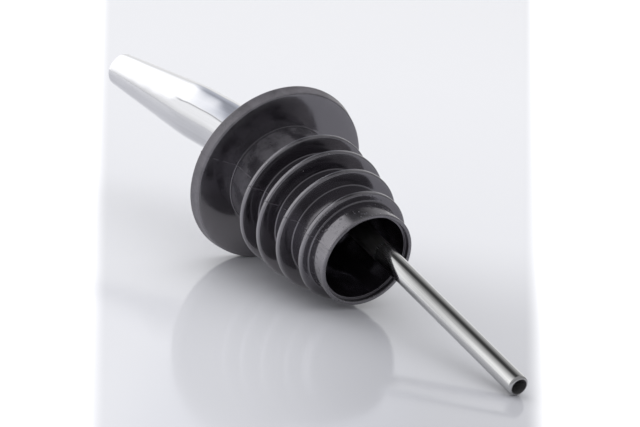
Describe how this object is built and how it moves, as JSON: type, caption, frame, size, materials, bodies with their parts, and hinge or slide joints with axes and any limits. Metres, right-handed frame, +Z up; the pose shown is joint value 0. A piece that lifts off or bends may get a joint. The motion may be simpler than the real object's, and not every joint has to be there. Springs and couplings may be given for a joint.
{
  "type": "liquor pourer",
  "caption": "Free-flow bottle pourer: hollow ribbed rubber stopper that plugs a bottle's neck, holding a bent tapered steel spout that turns in it and a thin breather tube.",
  "frame": {"origin": "on the stopper's axis, level with the flange's underside, where it comes down on the bottle's lip", "axes": "+Z up out of the bottle along the stopper's axis; +X the way the spout bends; the breather tube lies on the -X side"},
  "size_m": [0.034, 0.034, 0.1278],
  "materials": {
    "stopper_rubber": "semi-gloss moulded black rubber",
    "spout_steel": "bright polished stainless steel",
    "tube_steel": "bright drawn stainless steel",
    "braze": "smooth silver braze"
  },
  "bodies": {
    "stopper_body": {"stopper": "stopper_rubber"},
    "spout_body": {"pour_spout": "spout_steel", "breather_tube": "tube_steel", "vent_braze": "braze"}
  },
  "joints": [
    {"name": "spout_turn", "type": "hinge", "parent": "stopper_body", "child": "spout_body", "pos_m": [0, 0, 0], "axis": [0, 0, 1], "continuous": true}
  ]
}
